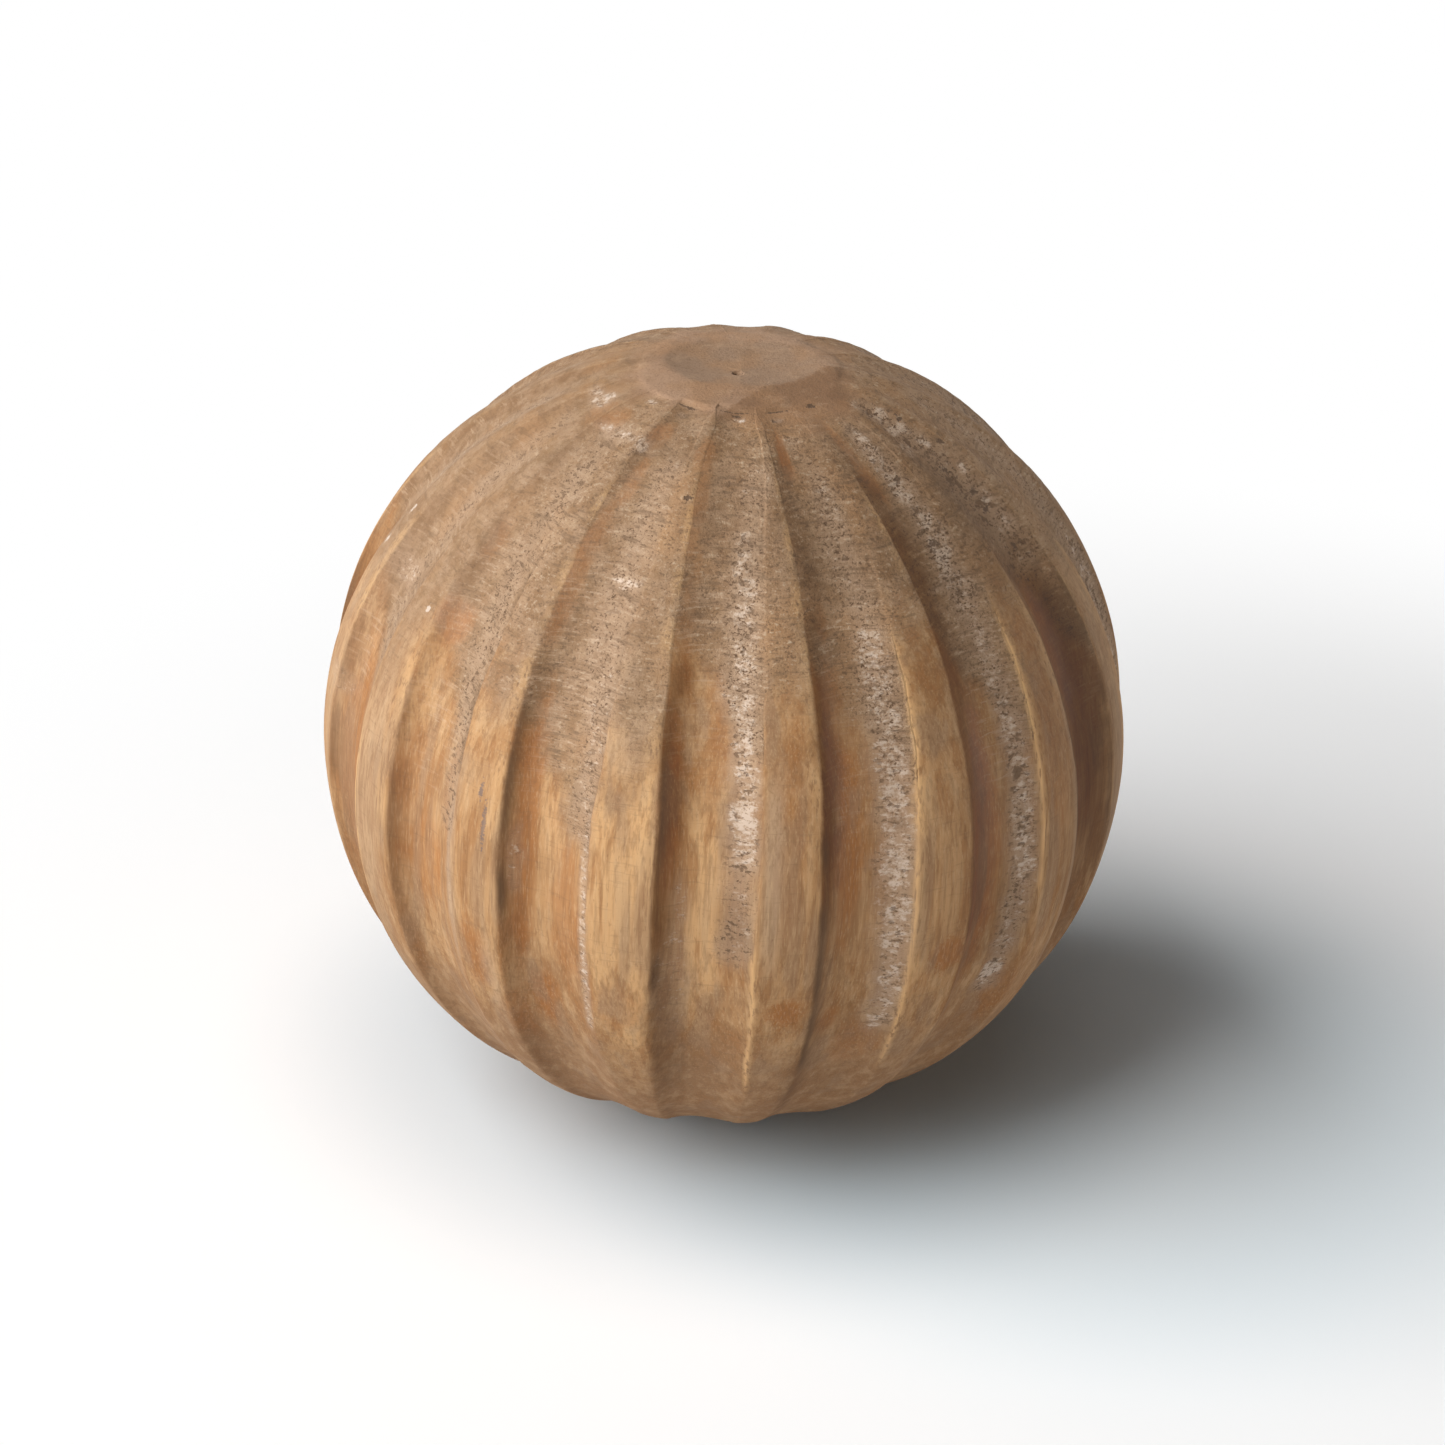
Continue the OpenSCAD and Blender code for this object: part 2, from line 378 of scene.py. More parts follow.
# Clots and scrapes of lime, most of them outside the torn strips.
LIME = [
    (1.6, 15.5, 2.0, 2.2, 1.4), (24.2, 20, 2.6, 5, 1.0), (45.5, -18.5, 1.8, 1.8, 1.4),
    (24, -21.5, 1.2, 1.6, 0.9), (-35, -20, 0.5, 9, 0.5), (-72, 32, 6, 2.2, 0.55),
    (-45, 66, 10, 1.4, 0.8), (-34, 65.5, 2.6, 1.4, 1.2), (-70, 69, 9, 1.6, 0.75),
    (66, 68.5, 5, 1.6, 1.1), (65, 65.5, 5, 1.2, 1.1), (60, 62, 4, 1.6, 0.8), (-68, 47, 3, 5, 0.4),
    (-21.5, 45, 3.5, 1.0, 0.9), (42, 42.5, 4, 0.7, 0.7), (5, 62, 5, 3.5, 0.5), (-7, -12, 2.4, 13, 0.5),
    (-6.5, 0, 1.2, 6, 0.5), (-30.5, 3, 1, 5, 0.55), (-77, 12, 4, 2, 0.5), (20, 69, 5, 1.2, 0.5),
    (-20, 62, 5, 2, 0.4), (-1, 74.3, 3, 0.5, 1.2), (19, 74.3, 3.5, 0.6, 1.2),
    (-48.5, 73.6, 3, 0.6, 1.2), (-67, 70.5, 3, 0.8, 1.0), (-29, 73, 3, 0.6, 0.8), (62, 72, 4, 0.8, 0.8),
    (69, 61, 2, 0.8, 1.1), (71, 55, 2.2, 0.8, 1.2), (69.5, 49.5, 2.2, 1.0, 1.2),
    (70, 45, 1.8, 1.0, 0.9), (46.5, 52, 2.4, 1.2, 1.3), (46, 46, 2.4, 1.2, 1.3), (68, 65, 3, 0.9, 1.1)
]
CLOT_TORN = 0.5
clot_places = spots(LIME)
lime = np.maximum(lime, clot_places)
torn = np.maximum(torn, CLOT_TORN * clot_places)

# The steep walls keep an orange-brown dirt, darkened further with painted shade: how dark,
# how far across it reaches, and the latitudes between which it lies. It is full up to
# WALL_FULL of its reach.
WALLS = [
    (0.85, 0.24, -10, 32), (1.0, 0.25, 0, 42), (0.95, 0.4, -14, 60), (1.1, 1.2, -6, 42),
    (1.0, 0.3, -10, 30), (0.8, 0.25, 0, 40), (1.0, 0.5, -20, 20), (0.8, 0.2, -5, 30),
    (1.0, 0.3, -15, 25), (0.7, 0.3, -10, 35), (0.9, 0.2, 0, 30), (1.0, 0.25, -10, 25),
    (0.8, 0.4, -20, 30), (0.45, 0.35, 2, 30), (0.4, 0.2, -12, 14), (0.45, 0.24, -24, 27)
]
WALL_FULL = 0.3
WALL_CLEAR = 1.25
FAINT_DIRT_AND_SHADE = 0.3
wall_dark, wall_reach, wall_low, wall_high = table_by_flute(WALLS)
from_arris = across + 0.05 * medium + 0.03 * small
wall = in_flute * (1 - step(wall_reach * WALL_FULL, wall_reach * WALL_CLEAR, from_arris))
dirt_and_shade = wall * wall_dark * band(lat_deg + 6 * medium, wall_low, wall_high, soft=9)
dirt_and_shade = np.maximum(dirt_and_shade, FAINT_DIRT_AND_SHADE * wall * band(lat_deg + 5 * medium, low=-70, high=74, soft=8))

# Dark creases right under the arris of a steep wall, painted shade with some dirt, each (how
# dark, lowest and highest latitude), and some at a flute's right edge.
CREASES = [
    (1.0, -16, 26), (0.85, -33, 12), (0.3, -20, 20), (0.6, -10, 30), (0.8, -20, 20), (0.5, 0, 30),
    (0.9, -25, 15), (0.5, -10, 25), (0.8, -20, 20), (0.6, -5, 30), (0.7, -20, 10), (0.9, -10, 25),
    (0.5, -20, 20), (0.4, -10, 20), (0.3, -10, 20), (0.9, -8, 27)
]
crease_much, crease_low, crease_high = table_by_flute(CREASES)
crease_shade_and_dirt = in_flute * crease_much * peak(across, place=0.02, width=0.05)
crease_shade_and_dirt = crease_shade_and_dirt * band(lat_deg + 5 * medium, crease_low, crease_high, soft=5)
RIGHT_CREASES = [0.1, 0, 0.2, 0.3, 0, 0.4, 0, 0.3, 0, 0, 0.5, 0, 0.3, 0.4, 0.4, 0.2]
right_crease = in_flute * by_flute(RIGHT_CREASES) * peak(across, place=0.975, width=0.03)
crease_shade_and_dirt = crease_shade_and_dirt + right_crease * band(lat_deg, low=0, high=55, soft=6)
crease_shade_and_dirt = crease_shade_and_dirt * np.clip(0.75 + 0.9 * wave(6, seed=11), 0, 1)

# The lands are sanded through to golden wood, and so are a few floors. Their arrises
# are rubbed bright and carry a painted highlight: right_line on the gentle side of a flute,
# left_line before a wall.
LAND_GOLD = [0.35, 0.4, 0.15, 0.1, 0.5, 0.4, 0.7, 0.3, 0.5, 0.7, 0.4, 0.5, 0.3, 0.3, 0.35, 1.15]
gold_and_lit = by_flute(LAND_GOLD) * band(across, low=1.04, high=1.96, soft=0.06)
gold_and_lit = gold_and_lit * band(lat_deg + 7 * medium, low=-24, high=21, soft=6)
# The spot at (-52.5, 20) is painted light: it brightens a wall that the mesh cuts steeper than the real one.
GOLDEN_AND_LIT = [
    (-3.5, -2, 2.8, 19, 1.1), (-14, -24, 4, 10, 0.5), (-47, -3, 3.0, 8, 0.45), (28.2, 10, 1.7, 24, 1.0),
    (50.4, 26, 1.5, 12, 0.8), (31, -2, 2.6, 6, 0.5), (8.3, -4, 2.6, 10, 0.35), (-25, 12, 3.0, 11, 0.55),
    (-26, -3, 2.2, 10, 0.35), (-52.5, 20, 2.6, 9, 0.5), (-70, 10, 3.5, 14, 0.35), (-47, 20, 2.0, 8, 0.3)
]
gold_and_lit = np.maximum(gold_and_lit, spots(GOLDEN_AND_LIT, soft=0.5))

# The lowest and highest latitude of every bright line. (0, 1) is hardly any.
RIGHT_LINES = [
    (-34, -3), (-30, 36), (-6, 36), (0, 1), (-30, 10), (-20, 30), (-35, 0), (-10, 30), (-30, 5),
    (-25, 25), (-30, -5), (-20, 35), (0, 1), (-20, 10), (0, 1), (0, 1)
]
LEFT_LINES = [
    (6, 64), (38, 60), (20, 40), (-20, 40), (10, 50), (20, 50), (0, 40), (15, 50), (10, 40), (20, 50),
    (-10, 30), (10, 50), (20, 40), (0, 30), (-5, 60), (2, 62)
]
RIGHT_LINE_MUCH = 1.2
LEFT_LINE_MUCH = 0.62
line_low, line_high = table_by_flute(RIGHT_LINES)
right_line = RIGHT_LINE_MUCH * peak(across, place=1.01, width=0.035)
right_line = right_line * band(lat_deg, line_low, line_high, soft=4)
line_low, line_high = table_by_flute(LEFT_LINES)
left_line = LEFT_LINE_MUCH * peak(across, place=1.88, width=0.14)
left_line = left_line * band(lat_deg + 4 * medium, line_low, line_high, soft=5)
right_line = right_line * np.clip(0.85 + 0.5 * medium, 0, 1)
left_line = left_line * np.clip(0.5 + 0.9 * medium, 0, 1)
rubbed_and_highlit = np.maximum(right_line, left_line)

# Worn places and smooth amber floors that hold no lime.
AMBER = [
    (33.2, -9.5, 2.5, 2.8, 1.0), (9.2, -15.8, 2.3, 2.4, 0.75), (16.5, -20, 1.5, 2.6, 0.7),
    (-37.5, -14, 2.2, 6, 0.85), (-27, -20, 2.2, 6, 1.0), (-32, -24, 2.0, 5, 0.5),
    (-48, -3, 4.0, 8, 0.6), (-52, 32, 3.4, 3.4, 0.8), (-15, -17, 3.5, 4, 0.35), (8.3, 12, 2.4, 14, 0.4),
    (17.2, 10, 2.3, 15, 0.95), (39.5, 5, 3.2, 20, 0.9), (-70, 2, 5, 18, 0.8), (-22.5, -4, 2.2, 12, 0.6),
    (-2.5, 25, 2, 10, 0.25), (54, 20, 3.5, 18, 0.35), (48, -24, 3, 6, 0.6), (-31.5, 46, 1.8, 12, 0.6),
    (-30, 60, 2, 5, 0.6), (-53, 45, 2, 4, 0.4), (15, 67, 2.2, 5, 0.9), (38, 66, 2.4, 7, 0.6),
    (-10, 57, 2, 8, 0.5), (-29.5, 6, 1.6, 22, 0.8), (-8.2, 14, 1.4, 13, 0.7), (15.6, 26, 1.8, 14, 0.6),
    (-31, 68, 4, 3, 0.6), (-53, 68, 6, 2.5, 0.6), (39.5, 62, 1.6, 6, 0.6), (-8.5, 44, 1.4, 8, 0.4),
    (-12, 66, 3, 3, 0.5), (22, -27, 3.5, 5, 0.5), (63, 27, 3, 10, 0.5), (-60, 68, 5, 3, 0.4),
    (-51, 8, 3.0, 8, 0.4)
]
amber = spots(AMBER)

# Places darkened, most broadly on the upper right, and places rubbed pale.
DARKENED_PLACES = [
    (52, 50, 14, 16, 0.62), (25, 57, 20, 13, 0.5), (67.5, 17, 5.5, 19, 1.1), (66, 5, 9, 26, 0.75),
    (-1, 57, 9, 12, 0.4), (-22, 67, 9, 4, 0.4), (-8, -24, 3, 12, 0.4), (13.5, -30, 2.2, 14, 0.5),
    (1, -1, 2.4, 5, 0.3), (53, 22, 5, 12, 0.5), (38, 12, 4, 30, 0.3), (14.5, 20, 2.4, 14, 0.45),
    (43, 22, 7, 14, 0.3), (17, 34, 4, 9, 0.35), (14.5, 66, 2.2, 6, 0.7), (-33, 66, 3, 5, 0.5),
    (44, -9, 3.5, 8, 0.3), (-61, 2, 9, 30, 0.2), (55, 43, 4, 12, 0.4), (31, 30, 4, 10, 0.25),
    (24, 24, 3, 10, 0.2)
]
darkened = spots(DARKENED_PLACES, soft=0.5)
PALE = [
    (-60, 4, 4.0, 26, 0.45), (58.6, 20, 1.6, 42, 0.6), (76, 12, 4, 40, 0.4), (6.3, 7, 1.4, 14, 0.6),
    (-14.5, 27, 3.5, 7, 0.4), (-41, -2, 1.0, 12, 0.5), (-80, 20, 8, 20, 0.3), (-34.5, -21, 1.0, 10, 0.4)
]
pale = spots(PALE, soft=0.5)

# The floors of the hidden flutes are amber halfway down.
BEHIND_FROM = (85, 100)
HIDDEN_AMBER = 0.7
amber_floor = in_flute * band(across, low=0.25, high=0.6, soft=0.1)
amber_floor = amber_floor * band(lat_deg + 8 * medium, low=-15, high=22, soft=8)
amber = np.maximum(amber, HIDDEN_AMBER * step(*BEHIND_FROM, np.abs(lon_deg)) * amber_floor)

# Grainy wood full of lime over the upper part. In a flute it ends in a slanting line,
# where a last stroke of the gouge stopped. Low down there is a smooth grey wash.
ROUGH_FROM = [30, 38, 36, 34, 30, 36, 28, 32, 26, 34, 30, 36, 28, 26, 26, 23]
STROKE_FROM = [40, 36, 36, 40, 34, 40, 30, 38, 32, 40, 36, 40, 34, 30, 33, 24]
STROKE_SLANT = 18
stroke_edge = lat_deg - by_flute(STROKE_FROM) + STROKE_SLANT * across + 1.5 * medium + 0.6 * small
land_edge = lat_deg - by_flute(ROUGH_FROM) + 5 * broad + 4 * medium + 2 * small
rough = np.where(in_flute, step(-2.5, 2.5, stroke_edge), step(-8, 8, land_edge))
stroke_line = in_flute * band(across, low=0.12, high=0.6, soft=0.1) * peak(stroke_edge, place=0, width=1.1)
stroke_line = stroke_line * np.clip(0.6 + broad, 0, 1)
dirt_and_shade = np.maximum(dirt_and_shade, 0.7 * stroke_line)
rough = rough * (1 - 0.85 * amber)
less_grit = band(lon_deg, low=-120, high=-52, soft=10)
more_grit = band(lon_deg, low=-5, high=55, soft=12)
grit = rough * (1 - 0.6 * less_grit) * (1 + 0.35 * more_grit)
combed = in_flute * band(lat_deg + 5 * medium, low=14, high=58, soft=6) * np.clip(0.7 + 0.6 * broad, 0, 1)
low_wash = 1 - step(-34, -18, lat_deg + 6 * medium + 5 * broad)
wash = np.clip(0.8 * low_wash + 0.15 + 0.3 * medium, 0, 1) * (1 - 0.8 * amber) * (1 - 0.8 * gold_and_lit)


def rounded(depth, size):
    """The same cuts with every edge round the ball smoothed over a width of size."""
    even_lon = np.arange(ROUND_STEPS) * 2 * math.pi / ROUND_STEPS
    waves = np.fft.rfftfreq(ROUND_STEPS, 1 / ROUND_STEPS)
    soft = np.empty_like(depth)
    for ring in range(rings):
        even = np.interp(even_lon, lon[ring], depth[ring], period=2 * math.pi)
        spread = size / (BALL_R * math.cos(lat[ring].mean()))
        even = np.fft.irfft(np.fft.rfft(even) * np.exp(-0.5 * (waves * spread) ** 2), ROUND_STEPS)
        soft[ring] = np.interp(lon[ring], even_lon, even, period=2 * math.pi)
    return soft


# The arrises are worn round, more on the gentle side, near the crown and low down. The
# gouge's strokes, the torn wood and the grain are cut in a little on top of that.
ROUND_STEPS = 2880
ROUNDINGS = (0.00012, 0.00045, 0.00120)
CRISP_UP_TO = 0.7
SHALLOWER = 0.25
STROKE_CUT = 0.00006
UNEVEN_CUT = 0.00003
TORN_CUT = 0.00007
TORN_GROOVE = 0.00012
GRAIN_CUT = 0.00004
gentle_arris = peak(across, place=1.0, width=0.25)
near_crown = step(18, 50, lat_deg)
low_down = 1 - step(-48, -30, lat_deg)
softness = 0.45 + 0.6 * gentle_arris + 1.4 * near_crown + 0.6 * low_down
crisp, soft, softest = (rounded(depth, size) for size in ROUNDINGS)
blend = crisp + (soft - crisp) * np.clip(softness, 0, 1) + (softest - soft) * np.clip(softness - 1, 0, 1)
kept_crisp = 1 - np.clip(softness - CRISP_UP_TO, 0, 1)
depth = blend + np.maximum(depth - blend, 0) * kept_crisp
shallow_low_down = band(lat_deg, low=-62, high=-42, soft=6)
depth = depth * (1 - SHALLOWER * shallow_low_down)
strokes = STROKE_CUT * (1 + wave(9, seed=9)) * in_flute + UNEVEN_CUT * (1 + broad)
torn_cut = torn * (TORN_CUT * (1 + fine) + TORN_GROOVE * np.clip(streaks + 0.2, 0, 1))
rough_cut = rough * GRAIN_CUT * (1 + fine)
away = BALL_R - depth - strokes - torn_cut - rough_cut

# The crown and the foot are cut by flat chisel cuts, each (direction, distance, slope),
# and the crown is hollowed by two broad, shallow gouge cuts. The crown's cuts differ in
# how pale they are, partly in the wood's tone and partly in painted light and shade,
# with the front right cuts painted darkest.
CROWN_H = 0.0486
FOOT_H = 0.0485
CROWN_FLAT = 0.0035
FOOT_FLAT = 0.009
CROWN_CUTS = [(5, 1, 4), (34, 1.5, 9), (80, 2.9, 7), (125, 2.6, 7), (176, 1.95, 5),
              (-153, 2.1, 7), (-115, 2.4, 6), (-60, 2, 8)]
FLAT_LIGHT_AND_TONE = 0.6
CROWN_LIGHT_AND_TONE = [0.55, 0.0, 0.1, 0.9, 1.0, 0.8, 0.6, 0.75]
END_ROUNDING = 0.0006
END_EDGE = 0.0003
END_RAGGED = 0.0001
FOOT_CUTS = [(20, 1.05, 6), (75, 1.1, 8), (130, 1, 6), (-175, 1.1, 7), (-110, 1, 7), (-45, 1.08, 8)]
HOLLOW_DEPTH = 0.0008
HOLLOW_R = 0.008
HOLLOW_EDGE = 0.0002
HOLLOW_PLACES = [(-0.002, 0.0016), (0.0022, 0.0014)]
CENTRE_D = 0.0016
CENTRE_DEPTH = 0.0012
CROWN_CENTRE = (-0.0003, -0.0008)
FOOT_CENTRE = (0.0004, 0.0003)
LEAST_FACING = 0.2
OUT_OF_REACH = 1.0


def plane_distance(normal, point):
    """How far from the middle each direction meets a plane."""
    facing = direction @ np.array(normal)
    distance = np.dot(normal, point) / np.maximum(facing, LEAST_FACING)
    return np.where(facing > LEAST_FACING, distance, OUT_OF_REACH)


def chisel_plane(cut, nearest, height, sign):
    """How far from the middle each direction meets a chisel cut. sign is -1 at the foot."""
    turn, share, slope = math.radians(cut[0]), cut[1] * nearest, math.radians(cut[2])
    out_x, out_y = math.sin(turn), -math.cos(turn)
    normal = (out_x * math.sin(slope), out_y * math.sin(slope), sign * math.cos(slope))
    return plane_distance(normal, (out_x * share, out_y * share, sign * height))


dressed = np.minimum(plane_distance((0, 0, 1), (0, 0, CROWN_H)), plane_distance((0, 0, -1), (0, 0, -FOOT_H)))
facet_light_and_tone = np.full_like(lat, FLAT_LIGHT_AND_TONE)
for cut, cut_light_and_tone in zip(CROWN_CUTS, CROWN_LIGHT_AND_TONE):
    plane = chisel_plane(cut, CROWN_FLAT, CROWN_H, sign=1)
    facet_light_and_tone = np.where(plane < dressed, cut_light_and_tone, facet_light_and_tone)
    dressed = np.minimum(dressed, plane)
for cut in FOOT_CUTS:
    dressed = np.minimum(dressed, chisel_plane(cut, FOOT_FLAT, FOOT_H, sign=-1))
hollow_ball_r = arc_r(HOLLOW_R, HOLLOW_DEPTH)
hollow = np.zeros_like(lat)
for x, y in HOLLOW_PLACES:
    hollow_mid = np.array((x, y, CROWN_H + hollow_ball_r - HOLLOW_DEPTH))
    along = direction @ hollow_mid
    inside = along**2 - hollow_mid @ hollow_mid + hollow_ball_r**2
    reach = along - np.sqrt(np.maximum(inside, 0))
    reach = np.where((inside > 0) & (along > 0), reach, OUT_OF_REACH)
    hollow = np.maximum(hollow, step(0, HOLLOW_EDGE, dressed - reach))
    dressed = np.minimum(dressed, reach)
crown = step(-END_EDGE, END_EDGE, away - dressed + END_RAGGED * small)
near_pole = step(71, 76.5, np.abs(lat_deg) + 1.5 * broad + 1.5 * medium)
crown = np.maximum(crown, 0.85 * near_pole) * (lat > 0)
nearer = np.clip(0.5 + 0.5 * (away - dressed) / END_ROUNDING, 0, 1)
away = away + (dressed - away) * nearer - END_ROUNDING * nearer * (1 - nearer)
for centre, end in ((CROWN_CENTRE, lat > 0), (FOOT_CENTRE, lat < 0)):
    far = np.hypot(direction[:, :, 0] * away - centre[0], direction[:, :, 1] * away - centre[1])
    away = away - CENTRE_DEPTH * np.clip(1 - far / (CENTRE_D / 2), 0, 1) * end

# The mesh: four corners to a face, and a fan of triangles at each pole.
points = direction * away[:, :, None] + np.array(middle)
index = np.arange(rings * columns).reshape(rings, columns)
beside = np.roll(index, -1, axis=1)
quads = np.stack([index[:-1], beside[:-1], beside[1:], index[1:]], -1).reshape(-1, 4)
foot_tip = rings * columns
crown_tip = foot_tip + 1
faces = [tuple(q) for q in quads.tolist()]
faces += [(foot_tip, int(beside[0, c]), int(index[0, c])) for c in range(columns)]
faces += [(crown_tip, int(index[-1, c]), int(beside[-1, c])) for c in range(columns)]
corners = points.reshape(-1, 3).tolist()
corners += [(0, 0, middle.z - float(away[0].min())), (0, 0, middle.z + float(away[-1].min()))]

mesh = bpy.data.meshes.new("carved_ball")
mesh.from_pydata(corners, [], faces)
for polygon in mesh.polygons:
    polygon.use_smooth = True
ball = bpy.data.objects.new("carved_ball", mesh)
bpy.context.scene.collection.objects.link(ball)


# The masks are kept on the mesh, for the wood's finish.
MASK_TOP = 1.5
masks = {"torn": torn, "lime": lime, "dirt_and_shade": dirt_and_shade, "crease_shade_and_dirt": crease_shade_and_dirt, "gold_and_lit": gold_and_lit, "rubbed_and_highlit": rubbed_and_highlit,
         "amber": amber, "darkened": darkened, "pale": pale, "rough": rough, "grit": grit, "combed": combed,
         "wash": wash, "crown": crown, "facet_light_and_tone": facet_light_and_tone, "hollow": hollow}
for name, values in masks.items():
    layer = mesh.attributes.new(name, "FLOAT", "POINT")
    flat = np.append(values.reshape(-1), [values[0].mean(), values[-1].mean()])
    layer.data.foreach_set("value", np.clip(flat, 0, MASK_TOP).astype(np.float32))


# The finish: honey-brown wood, darker with dirt and painted shade in the steep walls, with lime in the
# grain.
wood = bpy.data.materials.new("limed_wood")
wood.use_nodes = True
tree = wood.node_tree
tree.nodes.clear()


def node(kind, **settings):
    """A new shader node with these settings."""
    made = tree.nodes.new("ShaderNode" + kind)
    for key, value in settings.items():
        setattr(made, key, value)
    return made


def plug(target, value):
    """Set a socket to a number or a colour, or link it to another socket."""
    if isinstance(value, bpy.types.NodeSocket):
        tree.links.new(value, target)
    else:
        target.default_value = value


def maths(operation, a, b=0.0, clamp=False):
    """One sum on two numbers or sockets."""
    made = node("Math", operation=operation, use_clamp=clamp)
    plug(made.inputs[0], a)
    plug(made.inputs[1], b)
    return made.outputs[0]


def times(a, b):
    """The product, held between 0 and 1."""
    return maths("MULTIPLY", a, b, clamp=True)


def sum_of(*parts):
    """The sum of numbers or sockets, each given with its share."""
    total = 0.0
    for part, share in parts:
        total = maths("ADD", total, maths("MULTIPLY", part, share))
    return total


def mix(factor, a, b, blend="MIX"):
    """Colour a at 0 and colour b at 1, or b blended into a in another way."""
    made = node("Mix", data_type="RGBA", blend_type=blend)
    plug(made.inputs["Factor"], factor)
    plug(made.inputs[6], a)
    plug(made.inputs[7], b)
    return made.outputs[2]


def lay(under, where, over, much=1.0, blend="MIX"):
    """One colour laid over another, as far as the mask and the amount say."""
    return mix(times(where, much), under, over, blend)


def noise_of(size, detail=2.0, roughness=0.5):
    """Noise whose spots are about size in mm, as (round the ball, along its axis)."""
    made = node("TexNoise")
    placed = node("Mapping")
    plug(placed.inputs["Vector"], here)
    round_it, along_it = 1 / (MM * size[0]), 1 / (MM * size[1])
    placed.inputs["Scale"].default_value = (round_it, round_it, along_it)
    plug(made.inputs["Vector"], placed.outputs[0])
    made.inputs["Scale"].default_value = 1.0
    made.inputs["Detail"].default_value = detail
    made.inputs["Roughness"].default_value = roughness
    return made.outputs["Fac"]


def between(value, low, high):
    """A soft step from 0 at low to 1 at high. low may be the larger."""
    made = node("MapRange", interpolation_type="SMOOTHSTEP")
    plug(made.inputs["Value"], value)
    made.inputs["From Min"].default_value = low
    made.inputs["From Max"].default_value = high
    return made.outputs[0]


def mask(name):
    """A mask kept on the mesh."""
    return node("Attribute", attribute_name=name).outputs["Fac"]


# A small mark's place (share of the ball's radius) and reach in depth. Its edge is where
# its own radius, 1, and the raggedness add up to MARK_EDGE.
MARK_SEAT = 0.99
MARK_REACH = 0.004
MARK_EDGE = (3.7, 3.1)


def mark(spot_lon, spot_lat, half_w, half_h):
    """A small mark with a ragged edge: direction, latitude, half width and half height in mm."""
    turn, rise = math.radians(spot_lon), math.radians(spot_lat)
    out = Vector((math.sin(turn) * math.cos(rise), -math.cos(turn) * math.cos(rise), math.sin(rise)))
    aside = Vector((math.cos(turn), math.sin(turn), 0))
    placed = node("Mapping", vector_type="TEXTURE")
    plug(placed.inputs["Vector"], here)
    placed.inputs["Location"].default_value = middle + out * BALL_R * MARK_SEAT
    placed.inputs["Rotation"].default_value = Matrix((aside, out.cross(aside), out)).transposed().to_euler()
    placed.inputs["Scale"].default_value = (MM * half_w, MM * half_h, MARK_REACH)
    length = node("VectorMath", operation="LENGTH")
    plug(length.inputs[0], placed.outputs[0])
    return between(maths("ADD", length.outputs["Value"], ragged), *MARK_EDGE)


def marks(places):
    """Several such marks."""
    found = 0.0
    for place in places:
        found = maths("MAXIMUM", found, mark(*place))
    return found


# The kinds of noise in the wood, from broad clouds to single grains.
here = node("TexCoord").outputs["Object"]
clouds = noise_of((8, 14), detail=3, roughness=0.5)
tints = noise_of((1.5, 20), detail=3, roughness=0.55)
ribbons = noise_of((3.2, 34), detail=2, roughness=0.5)
fibres = noise_of((0.45, 7), detail=3, roughness=0.6)
fine_fibres = noise_of((0.2, 2.0), detail=2, roughness=0.6)
ticks = noise_of((0.3, 1.2), detail=2, roughness=0.5)
chatter = noise_of((3.5, 0.4), detail=3, roughness=0.65)
grains = noise_of((0.7, 0.45), detail=3, roughness=0.7)
fine_grains = noise_of((0.3, 0.24), detail=2, roughness=0.65)
clumps = noise_of((2.2, 2.0), detail=3, roughness=0.6)
cracks = noise_of((1.2, 0.65), detail=3, roughness=0.6)
rows = noise_of((1.15, 0.55), detail=3, roughness=0.55)
ragged = sum_of((grains, 3.0), (fine_grains, 2.0))

# Bare wood: orange brown to honey, in upright streaks of several tints.
BARE_BROWN = (0.320, 0.155, 0.056, 1)
BARE_HONEY = (0.415, 0.226, 0.097, 1)
GOLD_AND_LIT_WOOD = (0.580, 0.335, 0.150, 1)
RED_STREAK = (0.320, 0.138, 0.042, 1)
HONEY_STREAK = (0.520, 0.320, 0.160, 1)
AMBER_WOOD = (0.340, 0.128, 0.028, 1)
AMBER_SPOT = (0.350, 0.140, 0.036, 1)
GREY_RIBBON = (0.290, 0.175, 0.098, 1)
PALE_WOOD = (0.470, 0.325, 0.205, 1)
DARK_FIBRE = (0.170, 0.078, 0.028, 1)
PALE_FIBRE = (0.620, 0.41, 0.22, 1)
DARK_TICK = (0.160, 0.070, 0.026, 1)
GREY_SCRATCH = (0.130, 0.100, 0.100, 1)
AMBER_SPOTS = [(33.2, -9.5, 2.1, 2.2), (9.3, -16.0, 1.9, 1.8)]
SCRATCHES = [(-35.1, 7.2, 0.3, 2.8), (-36.2, 12, 0.25, 1.2)]
tone = mix(between(clouds, 0.38, 0.62), BARE_BROWN, BARE_HONEY)
tone = lay(tone, mask("gold_and_lit"), GOLD_AND_LIT_WOOD)
tone = lay(tone, between(tints, 0.51, 0.64), RED_STREAK, much=0.65)
tone = lay(tone, between(tints, 0.48, 0.34), HONEY_STREAK, much=0.65)
tone = lay(tone, mask("amber"), AMBER_WOOD)
tone = lay(tone, marks(AMBER_SPOTS), AMBER_SPOT)
tone = lay(tone, between(ribbons, 0.52, 0.64), GREY_RIBBON, much=0.5)
tone = lay(tone, mask("pale"), PALE_WOOD)
tone = lay(tone, between(fibres, 0.56, 0.36), DARK_FIBRE, much=0.34)
tone = lay(tone, between(fine_fibres, 0.5, 0.72), PALE_FIBRE, much=0.3)
tone = lay(tone, between(ticks, 0.37, 0.28), DARK_TICK, much=0.3)
